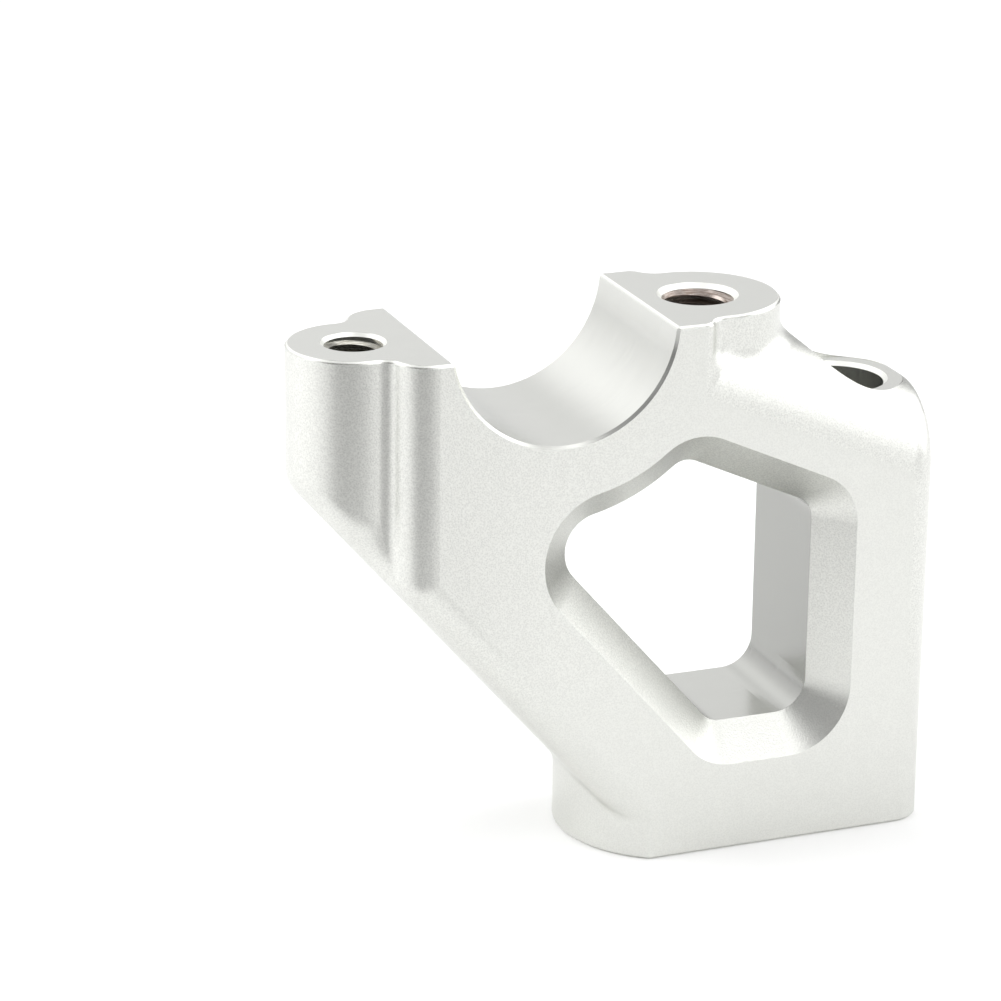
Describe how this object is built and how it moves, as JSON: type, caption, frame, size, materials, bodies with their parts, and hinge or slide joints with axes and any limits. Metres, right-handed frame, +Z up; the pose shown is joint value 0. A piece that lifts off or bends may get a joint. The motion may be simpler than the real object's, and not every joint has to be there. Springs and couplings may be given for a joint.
{
  "type": "motorcycle bar riser",
  "caption": "Raking riser block that lifts a handlebar clamp: half-round bar seat between two threaded lobes, windowed web, bolt column behind and a short foot.",
  "frame": {"origin": "middle of the bounding box at the base plane", "axes": "+X towards the mounting column, +Y along the handlebar, +Z up"},
  "size_m": [0.091, 0.0278, 0.0775],
  "materials": {
    "riser_body": "bead-blasted silver anodised sides with smoother machined top faces, seat and window wall"
  },
  "bodies": {
    "root": {"riser_body": "riser_body"}
  },
  "joints": []
}
